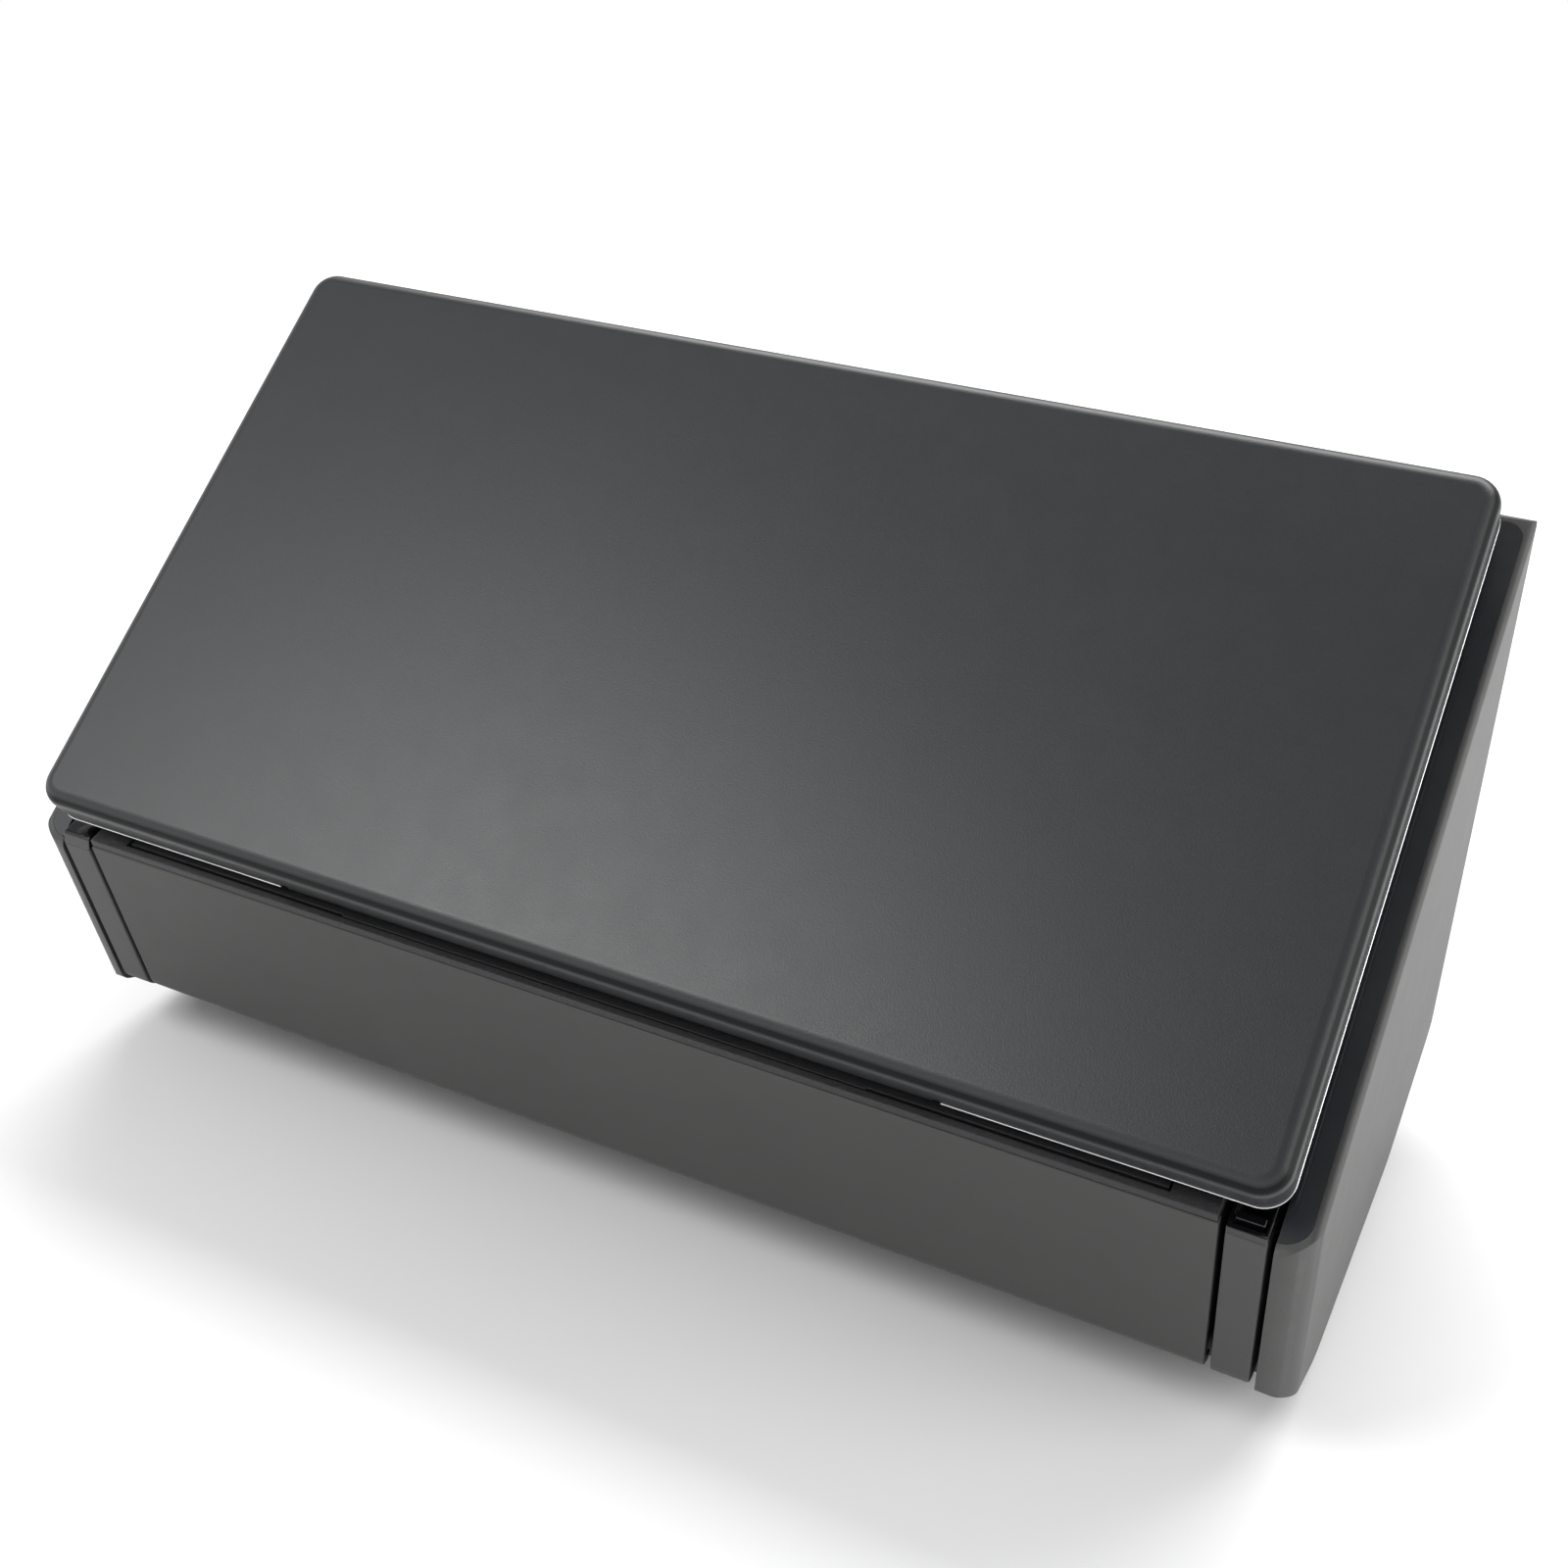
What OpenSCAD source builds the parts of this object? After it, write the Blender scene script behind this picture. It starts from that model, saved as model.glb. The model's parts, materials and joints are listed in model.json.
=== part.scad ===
// Sheet fed document scanner, closed for storage.
// Frame: origin on the desk under the middle of the bounding box,
// +X to the machine's right, +Y to its rear, +Z up. Millimetres.
// Two inner frames follow the casing: the lid frame lies on the sloping top
// (u across, v up the slope, n outward), and the face frame lies on the front.

/* [Casing] */
// Width over both side covers
body_w = 288; // [286:1:292]
// Slope of the top, from horizontal
slope = 41.6; // [41.2:0.2:42.0]
// Forward lean of the front face, from vertical
lean = 17; // [16.5:0.5:17.5]
// Forward lean of the rear wall, from vertical
rear_lean = 16; // [15.5:0.5:16.5]
// Wall thickness of the moulded covers
wall = 2.4; // [2:0.1:2.6]
// Width of the dark groove beside the stacker
groove = 1.2; // [1:0.1:1.4]

/* [Lid] */
// Width of the lid
lid_w = 276; // [272:1:277]
// Length of the lid up the slope
lid_l = 143.8; // [143.2:0.2:144.4]
// Height of the lid above its lower edge
lid_h = 10.5; // [10.3:0.1:10.8]
// Corner radius of the lid in plan
lid_r = 6; // [5:0.5:9]
// Width of the chute extension
extension_w = 149; // [140:1:150]

/* [Stacker] */
// Width of the stacker panel
stacker_w = 254.6; // [250:0.2:255]
// Length of the front face
face_l = 50; // [49.5:0.5:50.5]

/* [Paper feed] */
// Radius of the feed and eject tyres
feed_r = 7; // [6.5:0.25:7]
// Radius of the pick tyres
pick_r = 11; // [10:0.5:11]
// Radius of the brake tyre
brake_r = 7; // [6:0.5:7]
// Gear module
gear_m = 1; // [1:1]

/* [Hidden] */
$fn = 48;

mid_y = 72.612;            // middle of the depth, measured from the lid's front edge
seat_z = 66.1;             // height of the lid's front lower edge
face_y = -2.4;             // top of the front face
face_z = 64;
rear_y = 152.6;            // rear lower corner before rounding
rear_z = 21.4;
floor_z = 5.4;             // underside of the base above the desk
half_w = body_w/2;
strip_w = 7.4;
strip_in = stacker_w/2 + groove;
strip_out = strip_in + strip_w + groove;  // inner edge of each side cover
stacker_half = stacker_w/2;
deck_out = strip_out - 0.4;
top_n = -4;                // level of the side covers' top
lid_half = lid_w/2;
lid_wall = 1.8;
recess_half = 119;         // half width of the recess over the hinge
ear_slot = lid_h - 2;      // height of the slots in the lid's rear wall that clear the hinge ears
hinge_v = 137.3;           // lid hinge axis in the lid frame
hinge_n = 4.6;
pin_r = 1.5;
run_gap = 0.05;            // radial running clearance
frame_in = 123;            // inner face of the two side frames
frame_t = 2.5;
guide_half = 111.5;        // half width of the paper guides
feed_v = 45;               // feed roller along the paper path
eject_v = 8;
path_n = -31.3;            // level part of the paper path in the lid frame
path_v = 47;               // where the level part meets the sloping part
mouth_v = 133;             // upper end of the paper path, at n = 0
path_tilt = atan(-path_n/(mouth_v - path_v));
guide_gap = 0.8;           // from the paper path to each guide
guide_t = 1.8;
nip = 0.15;                // half the free gap between facing rollers
shaft_r = 3;
pinch_r = 5;
wall_d = 11.3;             // depth of the body's wall behind the stacker
panel_n = 5.2;             // lower face of the lid's inner panel, rear part
pocket_n = 2.3;            // the same in front, over the chute extension
rack_v = 106;              // guide pinion's axis in the lid frame
pinion_teeth = 14;
lash = 0.3;

// ---- points and outlines ----

// Machine point (y, z) of lid frame point (v, n)
function wf(v, n) = [v*cos(slope) - n*sin(slope), seat_z + v*sin(slope) + n*cos(slope)];
// Machine point s down the front face and d behind it
function ff(s, d) = [face_y + s*sin(lean) + d*cos(lean), face_z - s*cos(lean) + d*sin(lean)];
// Machine point s up the rear wall and d in front of it
function rf(s, d) = [rear_y - s*sin(rear_lean) - d*cos(rear_lean),
                     rear_z + s*cos(rear_lean) - d*sin(rear_lean)];
// Machine point at height z, t in front of the rear wall measured level
function rear_at(z, t) = [rear_y - (z - rear_z)*tan(rear_lean) - t, z];
// Lid frame point h above the sloping paper path at v
function slope_path(v, h) = [v - h*sin(path_tilt), -(mouth_v - v)*tan(path_tilt) + h*cos(path_tilt)];

function unit(p) = p/norm(p);
function turn(a, b) = ((b - a + 540) % 360) - 180;
// Arc of radius r that rounds the corner b between a and c
function arc(a, b, c, r, steps = 6) =
    let (u = unit(a - b), w = unit(c - b), half = acos(u*w)/2,
         m = b + unit(u + w)*r/sin(half),
         p = b + u*r/tan(half) - m, q = b + w*r/tan(half) - m,
         a0 = atan2(p[1], p[0]), da = turn(a0, atan2(q[1], q[0])))
    [for (i = [0:steps]) m + r*[cos(a0 + da*i/steps), sin(a0 + da*i/steps)]];
// Outline from corners [[y, z], r]
function rounded(c) = [for (i = [0:len(c) - 1])
    let (a = c[(i + len(c) - 1) % len(c)][0], b = c[i][0], d = c[(i + 1) % len(c)][0])
    each (c[i][1] > 0 ? arc(a, b, d, c[i][1]) : [b])];

body_outline = rounded([
    [ff(4.45, 0), 4], [ff(face_l, 0), 4], [[40, floor_z], 30], [[112, floor_z], 30],
    [[rear_y, rear_z], 9], [wf(145.3, top_n), 5]]);

// ---- placing helpers ----

module machine() translate([0, -mid_y, 0]) children();
module lid_frame() translate([0, 0, seat_z]) rotate([slope, 0, 0]) children();
module on_lid() machine() lid_frame() children();
module on_face() machine() translate([0, face_y, face_z]) rotate([90 + lean, 0, 0]) children();
// A (y, z) outline extruded from x0 to x1
module slab(x0, x1) translate([x0, 0, 0]) rotate([90, 0, 90]) linear_extrude(x1 - x0) children();
module lid_block(u, v, n) translate([u[0], v[0], n[0]]) cube([u[1] - u[0], v[1] - v[0], n[1] - n[0]]);
module face_block(u, s, d)
    translate([u[0], -s[1], -d[1]]) cube([u[1] - u[0], s[1] - s[0], d[1] - d[0]]);
module rod(p, x0, x1, r) slab(x0, x1) translate(p) circle(r);
module mirrored(side) mirror([side < 0 ? 1 : 0, 0, 0]) children();
module both_sides() for (side = [-1, 1]) mirrored(side) children();

// ---- gears ----

function roll_at(r, rb) = sqrt(max(0, pow(r/rb, 2) - 1))*180/PI;
function flank_angle(r, rb) = roll_at(r, rb) - atan(roll_at(r, rb)*PI/180);
function flank(teeth, r) =
    let (rp = gear_m*teeth/2, rb = rp*cos(20))
    90/teeth - lash/2/rp*90/PI + flank_angle(rp, rb) - flank_angle(r, rb);
function tooth_radii(teeth) =
    let (rp = gear_m*teeth/2, rr = rp - 1.2*gear_m, ra = rp + 0.9*gear_m)
    [for (i = [0:5]) rr + (ra - rr)*i/5];
module gear_2d(teeth, bore) difference() {
    polygon([for (k = [0:teeth - 1], side = [-1, 1], i = [0:5])
        let (r = tooth_radii(teeth)[side < 0 ? i : 5 - i],
             a = k*360/teeth + side*flank(teeth, r)) r*[cos(a), sin(a)]]);
    circle(bore);
}
// Turn of gear b so that it meshes with gear a, seen from a in direction dir
function mesh(turn_a, dir, na, nb) = dir + 180 - (turn_a - dir)*na/nb - 180/nb;
function direction(p, q) = atan2(q[1] - p[1], q[0] - p[0]);
// Point at distance dp from p and dq from q, on the left of the line p to q
function apex(p, q, dp, dq) =
    let (d = norm(q - p), x = (d*d + dp*dp - dq*dq)/(2*d), e = unit(q - p))
    p + x*e + sqrt(max(0, dp*dp - x*x))*[-e[1], e[0]];

feed_n = 20;
eject_n = 18;
eject_idler_n = 18;
pick_n = 26;
pick_idler_n = 22;
reduction_n = 30;
motor_n = 12;

feed_at = wf(feed_v, path_n - nip - feed_r);
eject_at = wf(eject_v, path_n - nip - feed_r);
pick_at = let (p = slope_path(80, -nip - pick_r)) wf(p[0], p[1]);
brake_at = let (p = slope_path(80, nip + brake_r)) wf(p[0], p[1]);
feed_pinch_at = wf(feed_v, path_n + nip + pinch_r);
eject_pinch_at = wf(eject_v, path_n + nip + pinch_r);
eject_idler_at = feed_at + unit(eject_at - feed_at)*gear_m*(feed_n + eject_idler_n)/2;
pick_idler_at = apex(feed_at, pick_at, gear_m*(feed_n + pick_idler_n)/2,
                     gear_m*(pick_n + pick_idler_n)/2);
reduction_at = feed_at + gear_m*(feed_n + reduction_n)/2*[cos(-33), sin(-33)];
motor_at = reduction_at + gear_m*(reduction_n + motor_n)/2*[cos(5), sin(5)];

feed_turn = 0;
eject_idler_turn = mesh(feed_turn, direction(feed_at, eject_idler_at), feed_n, eject_idler_n);
eject_turn = mesh(eject_idler_turn, direction(eject_idler_at, eject_at), eject_idler_n, eject_n);
pick_idler_turn = mesh(feed_turn, direction(feed_at, pick_idler_at), feed_n, pick_idler_n);
pick_turn = mesh(pick_idler_turn, direction(pick_idler_at, pick_at), pick_idler_n, pick_n);
reduction_turn = mesh(feed_turn, direction(feed_at, reduction_at), feed_n, reduction_n);
motor_turn = mesh(reduction_turn, direction(reduction_at, motor_at), reduction_n, motor_n);

gear_x = -133.5;           // outer face of the gears, in the left side cover's space
gear_t = 4.5;
gear_in = gear_x + gear_t;
stub_r = 2.5;

module gear_at(p, teeth, phase, bore)
    slab(gear_x, gear_in) translate(p) rotate(phase) gear_2d(teeth, bore);

charcoal = [0.2, 0.2, 0.21];
dark = [0.1, 0.1, 0.11];
mid_grey = [0.42, 0.42, 0.41];
steel = [0.7, 0.7, 0.72];
rubber_grey = [0.25, 0.25, 0.25];
natural = [0.85, 0.85, 0.82];

// ---- casing ----

stacker_pivot = ff(45.5, 5.2);
tray_y = 21.9;             // front of the tray, clear of the turning stacker
tray_z = 28;               // joint between the tray and the rear wall

foot_h = floor_z;
screw_r = 1.6;
module foot_places() for (x = [-118, 118], y = [53, 99]) translate([x, y, 0]) children();

// Open tray: floor, front wall behind the stacker and a low rear edge
module base_tray() color(charcoal) machine() difference() {
    union() {
        difference() {
            slab(-deck_out, deck_out) intersection() {
                polygon(body_outline);
                union() {
                    translate([tray_y, 0]) square([140, tray_z]);
                    polygon([ff(34.8, wall_d), [tray_y, 25.4], [tray_y, 21], [34, 21], ff(34.8, 18)]);
                }
            }
            slab(-deck_out + wall, deck_out - wall) polygon([
                [tray_y + wall, 15], [42, floor_z + wall], [110, floor_z + wall], rf(2, 4.5),
                rf(14, wall), rf(60, wall), [60, 60], ff(30, wall_d + wall),
                ff(40, wall_d + wall), [tray_y + wall, 26.4]]);
        }
        for (x = [-50, 100], y = [88, 132]) translate([x, y, floor_z + 2])
            cylinder(r = 3.2, h = board_z - floor_z - 2);
    }
    foot_places() cylinder(r = screw_r, h = 14);
    translate([-deck_out - 1, 0, 29.4]) cube([14, 40, 20]);
    port_windows();
}

module foot_pads() color(dark) machine() foot_places() difference() {
    cylinder(r = 6.5, h = foot_h);
    translate([0, 0, 1.6]) cylinder(r = 3.2, h = foot_h);
}

// One screw through each foot into the tray
module housing_screws() color(steel) machine() foot_places() {
    translate([0, 0, foot_h - 2.2]) cylinder(r = 2.9, h = 2.2);
    translate([0, 0, foot_h - 1]) cylinder(r = screw_r, h = 9);
}

edge_r = 0.8;              // edge chamfer all round the outer face of a side cover
front_r = 6.7;             // its front corner, seen along the face
rear_r = 3;
cover_front = 4.4;         // the hollow of a side cover starts this far behind the face
// Prism behind an upright wall whose outer corners are rounded. The wall passes
// through (y, z) and a is the direction from its face inward.
module soft_wall(y, z, a, r) translate([0, y, z]) rotate([a, 0, 0])
    linear_extrude(500, center = true) polygon(concat(
        [[0, 0]], arc([0, 0], [half_w, 0], [half_w, 300], r, 8), [[half_w, 300], [0, 300]]));
module side_cover(side) color(charcoal) machine() mirrored(side) difference() {
    intersection() {
        hull() {
            slab(strip_out, half_w - edge_r) polygon(body_outline);
            slab(strip_out, half_w) offset(delta = -edge_r) polygon(body_outline);
        }
        soft_wall(face_y, face_z, lean, front_r);
        soft_wall(rear_y, rear_z, 180 + rear_lean, rear_r);
    }
    slab(strip_out - 1, half_w - wall) intersection() {
        offset(delta = -wall) polygon(body_outline);
        polygon([wf(-30, top_n - 4.6), wf(160, top_n - 4.6), [200, -20], [-30, -20]]);
        polygon([ff(-60, cover_front), ff(120, cover_front), ff(120, 300), ff(-60, 300)]);
    }
    lid_frame() inlay_block(strip_out - 1, 0, 9);
}

inlay_out = strip_out + 5.2;
inlay_t = 1.8;
inlay_v = [-3.7, 142.6];
lip_half = 112.4;
// Block with the inlay's plan, from its underside to h above the side cover's top
module inlay_block(u, gap, h) translate([0, 0, top_n - inlay_t]) linear_extrude(inlay_t + h)
    polygon(rounded([[[u, inlay_v[0] + gap], 0], [[inlay_out - gap, inlay_v[0] + gap], 5],
                     [[inlay_out - gap, inlay_v[1] - gap], 3.4], [[u, inlay_v[1] - gap], 0]]));
// Dark strip let into the top of each side cover
module side_inlay(side) color(dark) on_lid() mirrored(side) inlay_block(strip_out + 0.1, 0.05, 0);

board_z = 22;
data_port_x = [52, 64.4];
power_inlet_x = [84, 94];
port_z = [board_z + 1.6, board_z + 12.6];
port_gap = 0.2;
module port_windows() for (x = [data_port_x, power_inlet_x])
    translate([x[0] - port_gap, 128, port_z[0] - port_gap])
        cube([x[1] - x[0] + 2*port_gap, 40, port_z[1] - port_z[0] + 2*port_gap]);

// Rear wall between the side covers, with a lip under the lid's end, air slots
// and the connector windows
module rear_cover() color(charcoal) machine() difference() {
    union() {
        slab(-deck_out, deck_out) polygon([
            rear_at(tray_z, 0), wf(145.3, top_n - 0.3), wf(142.8, top_n - 0.3), rear_at(tray_z, wall)]);
        slab(-lip_half, lip_half) polygon([wf(133.4, top_n - 1.6), wf(144, top_n - 1.6),
            wf(144.6, top_n + 0.2), wf(133.4, top_n + 0.2)]);
    }
    for (i = [0:11]) translate([-108 + i*7, 120, 50]) cube([3, 40, 62]);
    port_windows();
    translate([112, 130, 40]) cube([7, 40, 3]);
}

// ---- frames and decks ----

frame_outline = [ff(5, 14.2), ff(40, 14.2), [24.8, 25.4], [24.8, 15.8], [43, floor_z + 2.7],
                 [108, floor_z + 2.7], rf(6, 6), rf(18, 3), wf(138.8, -10), wf(130, -8.6),
                 wf(119.4, -8.6), wf(119.4, -6.5)];
shaft_points = [pick_at, feed_at, eject_at];
// Side frame with holes for the three shaft bushes
module side_frame(side) color(dark) machine() difference() {
    mirrored(side) slab(frame_in, frame_in + frame_t) polygon(frame_outline);
    for (p = shaft_points) rod(p, -half_w, half_w, 5);
    if (side < 0) {
        for (p = [eject_idler_at, pick_idler_at, reduction_at]) rod(p, -half_w, 0, stub_r);
        rod(motor_at, -half_w, 0, 5.5);
    }
}

module shaft_bushes() color(natural) machine()
    for (p = shaft_points) both_sides() difference() {
        rod(p, frame_in - 1, frame_in + frame_t, 5);
        rod(p, 0, half_w, shaft_r + run_gap);
    }

// Deck over each side frame, with the ear that carries the lid hinge
ear_u = [113, 117];
module top_deck(side) color(dark) on_lid() mirrored(side) difference() {
    union() {
        lid_block([frame_in - 0.2, deck_out], [9.2, 140.6], [-6.5, top_n - 0.3]);
        lid_block([frame_in + 0.6, strip_out - 2.2], [9.2, 127], [-6.5, -0.9]);
        lid_block([ear_u[0] - 0.5, frame_in + 1], [120.3, 127], [-8.4, -2.6]);
        translate([ear_u[0], 0, 0]) rotate([90, 0, 90]) linear_extrude(ear_u[1] - ear_u[0])
            union() {
                translate([hinge_v, hinge_n]) circle(3.4);
                polygon([[120.3, -6], [124, -6], [138.85, 1.6], [135.5, 7.4], [120.3, -2.6]]);
            }
    }
    translate([0, hinge_v, hinge_n]) rotate([0, 90, 0]) cylinder(r = pin_r + run_gap, h = half_w);
}

// Front strip beside the stacker, with the stacker's hinge bore
strip_end_r = 5.3;
strip_outline = rounded([[ff(4.2, 0), 0], [ff(face_l + 0.8, 0), 4.6], [ff(face_l + 0.8, 11), 4.6],
                         [ff(45, 11), 0], [ff(4.2, 11), 0]]);
module front_strip(side) color(mid_grey) machine() difference() {
    mirrored(side) slab(strip_in, strip_in + strip_w) polygon(strip_outline);
    mirrored(side) rod(stacker_pivot, strip_in - 1, strip_in + 4, 2 + run_gap);
    if (side > 0) slab(strip_in + 0.8, strip_in + strip_w - 0.8) polygon([
        ff(4, 1.6), ff(10, 1.6), ff(10, 9.6), ff(4, 9.6)]);
}

// Glossy end block on the left strip
module strip_cap_left() color(dark) machine()
    slab(-strip_in - strip_w, -strip_in) polygon(rounded([
        [ff(1.6, 1), 1], [ff(4.2, 0), 0], [ff(4.2, 11), 0], [ff(1.6, 11), 1]]));

// Glossy finger recess on the right strip, open at the top for the release tab
module strip_cap_right() color(dark) machine() difference() {
    slab(strip_in, strip_in + strip_w) polygon([ff(2.4, 0), ff(4.2, 0), ff(4.2, 11), ff(2.4, 11)]);
    slab(strip_in + 0.8, strip_in + strip_w - 0.8) polygon([
        ff(0, 1.2), ff(9, 1.2), ff(9, 9.6), ff(0, 9.6)]);
}

// Sprung tab that unlatches the front upper cover; it slides towards the rear
module release_tab() color(dark) machine() slab(strip_in + 1.1, strip_in + strip_w - 1.1)
    polygon([ff(1.8, 2), ff(9.6, 2), ff(9.6, 6.8), ff(7.6, 6.8), ff(7.6, 3.6), ff(1.8, 3.6)]);

// ---- paper path ----

// Band between heights h0 and h1 over the paper path, from v0 up to v1
module path_band(v0, v1, h0, h1) {
    bend = path_tilt/2;
    polygon([[v0, path_n + h0], [path_v - h0*tan(bend), path_n + h0], slope_path(v1, h0),
             slope_path(v1, h1), [path_v - h1*tan(bend), path_n + h1], [v0, path_n + h1]]);
}
module lid_slab(u0, u1) translate([u0, 0, 0]) rotate([90, 0, 90]) linear_extrude(u1 - u0) children();
tyre_u = [[22, 40], [74, 92]];
pick_u = [7, 25];
glass_v = [21.5, 31.5];
flag_u = [52, 54];

module tyre_windows(at_v, half_v) both_sides() for (t = tyre_u)
    lid_block([t[0] - 1, t[1] + 1], [at_v - half_v, at_v + half_v], [-80, 20]);

module lower_guide() color(dark) on_lid() difference() {
    union() {
        lid_slab(-guide_half, guide_half) path_band(-3, 131.4, -guide_gap - guide_t, -guide_gap);
        for (u = [44.5, 57.5]) translate([u, 0, 0]) lid_slab(0, 2.4)
            polygon([slope_path(53, -2), slope_path(63, -2), slope_path(60.4, -11.4),
                     slope_path(55.6, -11.4)]);
    }
    for (v = [eject_v, feed_v]) tyre_windows(v, feed_r + 0.6);
    both_sides() lid_block([pick_u[0] - 1, pick_u[1] + 1], [70, 97], [-60, 20]);
    lid_block([-110, 110], glass_v, [-60, -20]);
    lid_block([flag_u[0] - 1.2, flag_u[1] + 1.2], [49.5, 68], [-60, 0]);
    lid_slab(40, 62) translate(slope_path(58, -8)) circle(1.55);
}

module upper_guide() color(dark) on_lid() difference() {
    union() {
        lid_slab(-guide_half, guide_half) path_band(-1.3, 113.2, guide_gap, guide_gap + guide_t);
        both_sides() for (v = [eject_v, feed_v]) lid_slab(106, 109) translate([v, path_n + guide_gap])
            polygon([[-5, 1], [5, 1], [3.2, 8], [-3.2, 8]]);
        both_sides() lid_slab(22, 25) polygon([slope_path(73, 2), slope_path(87, 2),
            slope_path(84, 10.5), slope_path(76, 10.5)]);
    }
    for (v = [eject_v, feed_v]) {
        tyre_windows(v, pinch_r + 0.7);
        translate([-120, v, path_n + nip + pinch_r]) rotate([0, 90, 0]) cylinder(r = 2.05, h = 240);
    }
    lid_block([-19, 19], [69, 87], [-40, 20]);
    lid_block([-110, 110], glass_v, [-60, -20]);
    lid_block([flag_u[0] - 1.2, flag_u[1] + 1.2], [49.5, 68], [-60, 0]);
    lid_slab(-40, 40) translate(slope_path(80, nip + brake_r)) circle(2.55);
}

scan_v = [20, 33];
module glass(n) color([0.75, 0.85, 0.9, 0.4]) on_lid() lid_block([-110, 110], glass_v, n);
module lower_glass() glass([path_n - guide_gap - guide_t, path_n - guide_gap]);
module upper_glass() glass([path_n + guide_gap, path_n + guide_gap + guide_t]);

// Contact image sensor bars that face each other across the path
module scan_bar(dir) color([0.3, 0.3, 0.32]) on_lid() lid_slab(-112, 112)
    translate([0, path_n + dir*(guide_gap + guide_t)]) scale([1, dir]) polygon([
        [scan_v[0], 0], [scan_v[1], 0], [scan_v[1], 9], [scan_v[1] - 3, 12], [scan_v[0] + 3, 12],
        [scan_v[0], 9]]);
module lower_scan_unit() scan_bar(-1);
module upper_scan_unit() scan_bar(1);

// Front upper cover over the feed unit: skin, front wall and side walls
cover_half = 122.2;
button_at = [0, 22];
cover_outline = [[8.9, -1.2], [116.6, -1.2], [119.2, -3.4], [117.2, -4.3], slope_path(114, 2.7),
                 slope_path(path_v, 2.7), [-3, path_n + 2.7], [-4.3, path_n + 1]];
module front_upper_cover() color(charcoal) on_lid() difference() {
    lid_slab(-cover_half, cover_half) polygon(cover_outline);
    lid_slab(-cover_half + 2.2, cover_half - 2.2) polygon([[10.2, -3.4], [110, -3.4],
        slope_path(104, 2.7), slope_path(104, -3), [path_v, -40], [-1.6, -40], [-1.6, path_n + 2]]);
    translate([button_at[0], button_at[1], -5]) cylinder(r = 8.3, h = 9);
}

// Sprung scan button in the middle of the cover's front
module scan_button() color([0.35, 0.45, 0.75]) on_lid() translate([button_at[0], button_at[1], 0]) {
    translate([0, 0, -4.4]) cylinder(r = 8, h = 3.7);
    translate([0, 0, -6]) cylinder(r = 9.4, h = 1.6);
}

// ---- rollers, shafts and gears ----

module shaft(p, r, x0, x1) color(steel) machine() rod(p, x0, x1, r);
module pick_shaft() shaft(pick_at, shaft_r, gear_x - 0.8, frame_in + frame_t + 2);
module feed_shaft() shaft(feed_at, shaft_r, gear_x - 0.8, frame_in + frame_t + 2);
module eject_shaft() shaft(eject_at, shaft_r, gear_x - 0.8, frame_in + frame_t + 2);
module tyre(p, u, r, bore) difference() {
    rod(p, u[0], u[1], r);
    rod(p, u[0] - 1, u[1] + 1, bore);
}
module pick_tyres() color(rubber_grey) machine() both_sides() tyre(pick_at, pick_u, pick_r, shaft_r);
module feed_tyres() color(rubber_grey) machine() both_sides() for (u = tyre_u)
    tyre(feed_at, u, feed_r, shaft_r);
module eject_tyres() color(rubber_grey) machine() both_sides() for (u = tyre_u)
    tyre(eject_at, u, feed_r, shaft_r);
module pinch_roller(p) color(natural) machine() {
    rod(p, -111, 111, 2);
    both_sides() for (u = tyre_u) rod(p, u[0], u[1], pinch_r);
}
module feed_pinch_roller() pinch_roller(feed_pinch_at);
module eject_pinch_roller() pinch_roller(eject_pinch_at);
module brake_shaft() color(steel) machine() rod(brake_at, -27, 27, 2.5);
module brake_tyre() color(rubber_grey) machine() tyre(brake_at, [-17, 17], brake_r, 2.5);

module gear(p, teeth, phase, bore) color(natural) machine() gear_at(p, teeth, phase, bore);
module pick_gear() gear(pick_at, pick_n, pick_turn, shaft_r);
module feed_gear() gear(feed_at, feed_n, feed_turn, shaft_r);
module eject_gear() gear(eject_at, eject_n, eject_turn, shaft_r);
// Gear on a stub axle that runs in the left frame
module stub_gear(p, teeth, phase) color(natural) machine() {
    slab(gear_x, gear_in) translate(p) rotate(phase) gear_2d(teeth, 1);
    rod(p, gear_x, -frame_in + 0.4, stub_r - run_gap);
}
module pick_idler_gear() stub_gear(pick_idler_at, pick_idler_n, pick_idler_turn);
module eject_idler_gear() stub_gear(eject_idler_at, eject_idler_n, eject_idler_turn);
module reduction_gear() stub_gear(reduction_at, reduction_n, reduction_turn);

module drive_motor() color(steel) machine() difference() {
    union() {
        rod(motor_at, -frame_in, -frame_in + 24, 17.5);
        rod(motor_at, -frame_in - 2, -frame_in, 5.5);
    }
    rod(motor_at, -frame_in - 3, -frame_in + 20, 1.55);
}
module motor_pinion() color(natural) machine() {
    gear_at(motor_at, motor_n, motor_turn, 1);
    rod(motor_at, gear_x, -frame_in + 18, 1.5);
}

// Sprung lever that the paper pushes aside
module paper_flag() color(dark) on_lid() {
    lid_slab(44.5, 59.9) translate(slope_path(58, -8)) circle(1.5);
    lid_slab(flag_u[0], flag_u[1]) polygon([slope_path(59.4, -9.4), slope_path(61.5, 3.6),
        slope_path(59.4, 3.6), slope_path(56.6, -6)]);
}

// ---- electronics ----

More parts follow.
